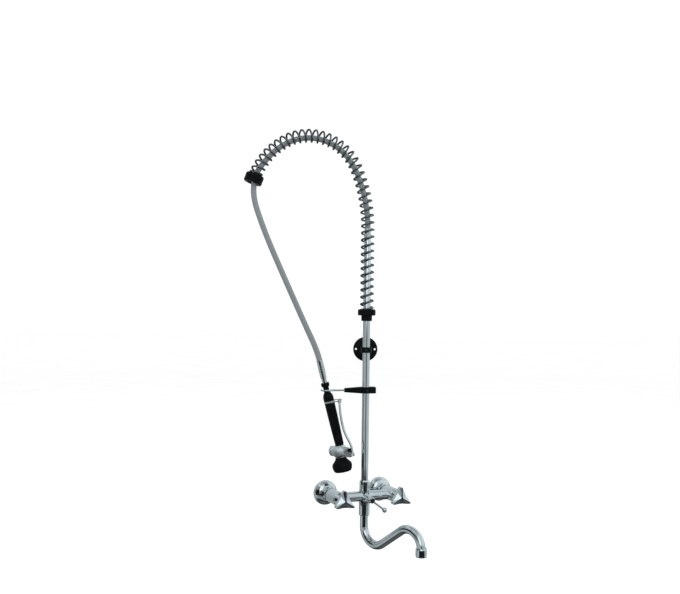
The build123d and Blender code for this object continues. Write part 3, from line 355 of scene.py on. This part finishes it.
def weave_height(s, a):
    """Height of a two-over-two braid, 0 to 1."""
    u = CARRIERS * a / math.tau + s * CARRIERS / 0.044
    v = CARRIERS * a / math.tau - s * CARRIERS / 0.044
    fu, fv = u % 1.0, v % 1.0
    over = (math.floor(u) + math.floor(v)) % 2 == 0
    across, along = (fu, fv) if over else (fv, fu)
    ribbon = max(0.0, math.sin(math.pi * across)) ** 0.5
    return ribbon * (0.55 + 0.45 * math.sin(math.pi * along))


step = hose_total / (len(hose_line) - 1)
AROUND = 84
hose_verts, hose_faces = tube_mesh(
    hose_line, Vector((0, 1, 0)),
    lambda i, a: HOSE_R - 0.00032 + 0.00032 * weave_height(i * step, a), AROUND)
hose_obj = add_mesh("hose_braided", hose_verts, hose_faces, braid, "mixer", ["hose"], sharp=None)
# the weave heights, stored again as the mask for the braid's painted shade in its hollows
weave_shade = hose_obj.data.attributes.new("weave_shade", "FLOAT", "POINT")
weave_shade_values = [weave_height(i * step, math.tau * j / AROUND) for i in range(len(hose_line)) for j in range(AROUND)]
weave_shade_values += [0.5] * (len(hose_obj.data.vertices) - len(weave_shade_values))
weave_shade.data.foreach_set("value", weave_shade_values)

# ---------------------------------------------------------------------------
# the coil spring: one wire wound right-handed along the arch, closed at both ends
# ---------------------------------------------------------------------------
arch = math.radians(8.0)
out_dir = Vector((-math.cos(arch), math.sin(arch), 0.0))
back_dir = Vector((math.sin(arch), math.cos(arch), 0.0))
up_dir = Vector((0, 0, 1))


def in_arch(u, z):
    return Vector((0, -0.075, 0)) + out_dir * u * MM + up_dir * z * MM


ARC = [(370.9, 23.4), (127.2, 98.7), (175.3, 38.3)]
FOOT, RISE = 452.4, 662.1
arch_total = (RISE - FOOT) + sum(r * math.radians(a) for r, a in ARC)


def arch_at(s):
    """Point (u, z) and heading of the arch's middle line, s millimetres from its foot."""
    u, z, head = 0.0, FOOT, math.pi / 2
    if s <= RISE - FOOT:
        return u, z + s, head
    z = RISE
    s -= RISE - FOOT
    for k, (r, deg) in enumerate(ARC):
        length = r * math.radians(deg)
        part = min(s, length) if k < len(ARC) - 1 else s
        turn = part / r
        # the line bends towards +u (away from the riser) and then down
        cu, cz = u + r * math.sin(head), z - r * math.cos(head)
        new = head - turn
        u, z = cu - r * math.sin(new), cz + r * math.cos(new)
        head = new
        s -= part
        if s <= 1e-9:
            break
    return u, z, head


WIRE, COIL_R = 2.45, 14.80
PER_TURN, SECTION = 44, 12
# pitch of the coil at these turns: closed at both ends, a little tighter over the top of the arch
PITCH = [(0.0, 4.9), (0.8, 4.9), (2.0, 17.9), (22.0, 17.6), (26.0, 16.3), (40.7, 16.2), (41.7, 4.9), (42.9, 4.9)]
TURNS = PITCH[-1][0]


def pitch_at(turn):
    for (t0, p0), (t1, p1) in zip(PITCH, PITCH[1:]):
        if turn <= t1:
            k = (turn - t0) / (t1 - t0)
            return p0 + (p1 - p0) * k * k * (3 - 2 * k)
    return PITCH[-1][1]


count = int(TURNS * PER_TURN)
grown = [0.0]
for i in range(count):
    grown.append(grown[-1] + pitch_at(TURNS * (i + 0.5) / count) * TURNS / count)
height_lo, height_hi = WIRE + 0.1, arch_total - WIRE - 0.1


def wire_height(i):
    """Distance along the arch of ring i of the wire."""
    return height_lo + grown[i] * (height_hi - height_lo) / grown[-1]


wire_line = []
for i in range(count + 1):
    turn = TURNS * i / count
    u, z, head = arch_at(wire_height(i))
    t = out_dir * math.cos(head) + up_dir * math.sin(head)
    n = back_dir
    b = t.cross(n)
    phi = math.tau * turn + 0.6
    wire_line.append(in_arch(u, z) + (n * math.cos(phi) + b * math.sin(phi)) * COIL_R * MM)
wire_verts, wire_faces = tube_mesh(wire_line, back_dir.cross(up_dir), lambda i, a: WIRE * MM, SECTION)
add_mesh("coil_spring_wire", wire_verts, wire_faces, shaded_chrome_wire, "mixer", ["coil_spring"], sharp=50.0)

# ---------------------------------------------------------------------------
# riser tube and swivel spout, drawn round
# ---------------------------------------------------------------------------
riser_profile = rounded([(7.5, 22.1), (10.3, 22.1), (10.3, 24.7), (9.0, 24.7), (9.0, 642.0), (7.5, 642.0)],
                        [0.2, 0.2, 0.2, 0.0, 0.3, 0.3], 3)
v, f = lathe_mesh(riser_profile, (0, -0.075, 0), (0, 0, 1), (1, 0, 0), 96)
add_mesh("riser_pipe", v, f, chrome, "mixer", ["riser_tube"])

spout_deg = math.radians(70.0)
spout_dir = Vector((math.cos(spout_deg), -math.sin(spout_deg), 0.0))


def spout_line():
    """The spout's middle line: down, round, up and over, and down to the outlet."""
    corners = [Vector((0, -31.6)), Vector((0, -148.3)), Vector((190, -19.3)), Vector((190, -101.0))]
    bends = [40.0, 41.0]
    pts = [corners[0]]
    for k, r in enumerate(bends):
        a, b, c = corners[k], corners[k + 1], corners[k + 2]
        d0, d1 = (a - b).normalized(), (c - b).normalized()
        half = d0.angle(d1) / 2
        cut = r / math.tan(half)
        centre = b + (d0 + d1).normalized() * (r / math.sin(half))
        p0, p1 = b + d0 * cut, b + d1 * cut
        a0 = math.atan2(*(p0 - centre).yx)
        a1 = math.atan2(*(p1 - centre).yx)
        while a1 - a0 > math.pi:
            a1 -= math.tau
        while a1 - a0 < -math.pi:
            a1 += math.tau
        last = pts[-1]
        for i in range(1, 12):
            pts.append(last.lerp(p0, i / 12))
        for i in range(41):
            q = a0 + (a1 - a0) * i / 40
            pts.append(centre + Vector((math.cos(q), math.sin(q))) * r)
    last = pts[-1]
    for i in range(1, 7):
        pts.append(last.lerp(corners[3], i / 6))
    return [Vector((0, -0.075, 0)) + spout_dir * p.x * MM + up_dir * p.y * MM for p in pts]


def pipe_mesh(points, start, outer, inner, around):
    """Tube with a wall: outside, inside and the two end rings."""
    verts, faces = [], []
    line = frames_along(points, start)
    n = len(points)
    for radius in (outer, inner):
        for i, p in enumerate(points):
            t, a_dir, b_dir = line[i]
            for j in range(around):
                a = math.tau * j / around
                verts.append(p + (a_dir * math.cos(a) + b_dir * math.sin(a)) * radius)
    base = n * around
    for i in range(n - 1):
        for j in range(around):
            k = (j + 1) % around
            faces.append((i * around + j, i * around + k, (i + 1) * around + k, (i + 1) * around + j))
            faces.append((base + i * around + k, base + i * around + j, base + (i + 1) * around + j,
                          base + (i + 1) * around + k))
    for j in range(around):
        k = (j + 1) % around
        faces.append((j, base + j, base + k, k))
        e = (n - 1) * around
        faces.append((e + j, e + k, base + e + k, base + e + j))
    return verts, faces


v, f = pipe_mesh(spout_line(), spout_dir.cross(up_dir), 10.5 * MM, 8.5 * MM, 64)
add_mesh("spout_pipe", v, f, chrome, "spout", ["spout_tube"])

# ---------------------------------------------------------------------------
# room: pale floor, soft lights, and a tent that only polished surfaces reflect
# ---------------------------------------------------------------------------
floor_mesh = bpy.data.meshes.new("floor")
ring = [(60.0 * math.cos(math.tau * i / 64), 60.0 * math.sin(math.tau * i / 64), -0.42) for i in range(64)]
floor_mesh.from_pydata(ring, [], [tuple(range(64))])
floor = bpy.data.objects.new("floor", floor_mesh)
scene.collection.objects.link(floor)
floor_look, tree, shader = new_material("floor_look")
shader.inputs["Roughness"].default_value = 0.9
shader.inputs["Specular IOR Level"].default_value = 0.1
tree.links.new(blend_colour(tree, noise(tree, coords(tree), 3.0), (0.93, 0.93, 0.93), (0.95, 0.95, 0.95)),
               shader.inputs["Base Color"])
floor_mesh.materials.append(floor_look)
floor.visible_glossy = False

world = bpy.data.worlds.new("studio")
scene.world = world
world.use_nodes = True
wt = world.node_tree
wt.nodes.clear()
w_out = wt.nodes.new("ShaderNodeOutputWorld")
w_bg = wt.nodes.new("ShaderNodeBackground")
w_bg.inputs["Color"].default_value = (1.0, 1.0, 1.0, 1)
w_bg.inputs["Strength"].default_value = 1.06
wt.links.new(w_bg.outputs[0], w_out.inputs[0])
scene.view_settings.view_transform = "Standard"

middle = Vector((-0.08, -0.08, 0.40))


def around_object(azimuth, elevation, distance):
    """Place seen from the object; azimuth 0 is towards the viewer's side of the wall, and positive to the right."""
    a, e = math.radians(azimuth), math.radians(elevation)
    return middle + Vector((math.sin(a) * math.cos(e), -math.cos(a) * math.cos(e), math.sin(e))) * distance


def soft_light(name, azimuth, elevation, distance, size, power):
    data = bpy.data.lights.new(name, "AREA")
    data.shape = "DISK"
    data.size = size
    data.energy = power
    o = bpy.data.objects.new(name, data)
    scene.collection.objects.link(o)
    o.location = around_object(azimuth, elevation, distance)
    o.rotation_mode = "QUATERNION"
    o.rotation_quaternion = (o.location - middle).to_track_quat("Z", "Y")
    o.visible_camera = False
    o.visible_glossy = False
    return o


soft_light("key_light", -70, 40, 2.6, 1.2, 22.0)
soft_light("fill_light", 35, 25, 3.0, 1.6, 12.0)
soft_light("top_light", 10, 80, 2.6, 1.4, 14.0)

# reflection tent: a large dome that only polished surfaces reflect, grey with light and dark panels
tent_mesh = bpy.data.meshes.new("tent")
bm = bmesh.new()
bmesh.ops.create_uvsphere(bm, u_segments=48, v_segments=24, radius=12.0)
bm.to_mesh(tent_mesh)
bm.free()
tent = bpy.data.objects.new("tent", tent_mesh)
scene.collection.objects.link(tent)
tent.location = middle
tent_look = bpy.data.materials.new("tent_look")
tent_look.use_nodes = True
tt = tent_look.node_tree
tt.nodes.clear()
t_out = tt.nodes.new("ShaderNodeOutputMaterial")
t_em = tt.nodes.new("ShaderNodeEmission")
t_em.inputs["Strength"].default_value = 1.0
tt.links.new(t_em.outputs[0], t_out.inputs[0])
t_co = tt.nodes.new("ShaderNodeTexCoord")
t_grad = tt.nodes.new("ShaderNodeTexGradient")
t_grad.gradient_type = "RADIAL"
tt.links.new(t_co.outputs["Object"], t_grad.inputs["Vector"])


def ramp(tree, fac, stops):
    r = tree.nodes.new("ShaderNodeValToRGB")
    els = r.color_ramp.elements
    while len(els) < len(stops):
        els.new(0.5)
    for e, (pos, level) in zip(els, stops):
        e.position = pos
        e.color = (level * 0.90, level, level * 1.03, 1)
    tree.links.new(fac, r.inputs["Fac"])
    return r.outputs["Color"]


def turn_pos(degrees):
    """Place on the tent's ramp of a direction, in degrees to the right of the viewer's own."""
    return (degrees / 360.0 + 0.1866) % 1.0


# level with the eye: mid grey to the left, a soft dark band ahead, light to the right
level_round = ramp(tt, t_grad.outputs["Fac"], sorted([
    (0.0, 0.44), (turn_pos(-108), 0.38), (turn_pos(-98), 0.26), (turn_pos(-84), 0.30), (turn_pos(-60), 0.46),
    (turn_pos(-30), 0.44), (turn_pos(-6), 0.40), (turn_pos(2), 0.12), (turn_pos(24), 0.12), (turn_pos(33), 0.52),
    (turn_pos(75), 0.52), (turn_pos(95), 0.66), (turn_pos(140), 0.52), (1.0, 0.44)]))
# lower down: a wide black band with light on both sides
low_round = ramp(tt, t_grad.outputs["Fac"], sorted([
    (0.0, 0.46), (turn_pos(-150), 0.36), (turn_pos(-112), 0.34), (turn_pos(-84), 0.52), (turn_pos(-60), 0.66),
    (turn_pos(-53), 0.50), (turn_pos(-46), 0.016), (turn_pos(54), 0.016), (turn_pos(62), 0.36), (turn_pos(96), 0.52),
    (turn_pos(120), 0.78), (turn_pos(150), 0.52), (1.0, 0.46)]))
# above the eye: a black panel to the left
high_round = ramp(tt, t_grad.outputs["Fac"], sorted([
    (0.0, 0.46), (turn_pos(-110), 0.44), (turn_pos(-80), 0.40), (turn_pos(-73), 0.016), (turn_pos(-30), 0.016),
    (turn_pos(-22), 1.20), (turn_pos(10), 1.20), (turn_pos(22), 0.55), (turn_pos(60), 0.80), (turn_pos(120), 0.85),
    (1.0, 0.46)]))
t_sep = tt.nodes.new("ShaderNodeSeparateXYZ")
tt.links.new(t_co.outputs["Object"], t_sep.inputs[0])
t_map = tt.nodes.new("ShaderNodeMapRange")
t_map.inputs["From Min"].default_value = -12.0
t_map.inputs["From Max"].default_value = 12.0
tt.links.new(t_sep.outputs["Z"], t_map.inputs["Value"])
height = t_map.outputs["Result"]


def mixed(tree, fac, a, b):
    m = tree.nodes.new("ShaderNodeMix")
    m.data_type = "RGBA"
    tree.links.new(fac, m.inputs[0])
    tree.links.new(a, m.inputs[6])
    tree.links.new(b, m.inputs[7])
    return m.outputs[2]


def step_up(tree, value, lo, hi):
    r = tree.nodes.new("ShaderNodeMapRange")
    r.inputs["From Min"].default_value = lo
    r.inputs["From Max"].default_value = hi
    tree.links.new(value, r.inputs["Value"])
    return r.outputs["Result"]


sides = mixed(tt, step_up(tt, height, 0.398, 0.414), low_round, level_round)
sides = mixed(tt, step_up(tt, height, 0.555, 0.578), sides, high_round)
# floor and ceiling look the same from every side
caps = ramp(tt, height, [(0.0, 0.14), (0.05, 0.05), (0.12, 0.06), (0.18, 0.36), (0.25, 0.40), (0.72, 0.60), (0.90, 0.80), (0.95, 0.42), (1.0, 0.40)])
cap_share = ramp(tt, height, [(0.0, 1.0), (0.20, 1.0), (0.34, 0.0), (0.80, 0.0), (0.88, 1.0), (1.0, 1.0)])
tt.links.new(mixed(tt, cap_share, sides, caps), t_em.inputs["Color"])
tent_mesh.materials.append(tent_look)
for flag in ("visible_camera", "visible_diffuse", "visible_shadow", "visible_transmission", "visible_volume_scatter"):
    setattr(tent, flag, False)

# black flag to the left of the mixer, that the wall rosettes reflect
flag_mesh = bpy.data.meshes.new("flag")
flag_mesh.from_pydata([(-0.33, -0.31, -0.09), (-0.33, 0.05, -0.09), (-0.33, 0.05, 0.10), (-0.33, -0.31, 0.10)], [],
                      [(0, 1, 2, 3)])
flag = bpy.data.objects.new("flag", flag_mesh)
scene.collection.objects.link(flag)
flag_look = bpy.data.materials.new("flag_look")
flag_look.use_nodes = True
ft = flag_look.node_tree
ft.nodes.clear()
f_out = ft.nodes.new("ShaderNodeOutputMaterial")
f_em = ft.nodes.new("ShaderNodeEmission")
f_em.inputs["Color"].default_value = (0.012, 0.013, 0.014, 1)
f_em.inputs["Strength"].default_value = 1.0
ft.links.new(f_em.outputs[0], f_out.inputs[0])
flag_mesh.materials.append(flag_look)
for flag_name in ("visible_camera", "visible_diffuse", "visible_shadow", "visible_transmission",
                  "visible_volume_scatter"):
    setattr(flag, flag_name, False)
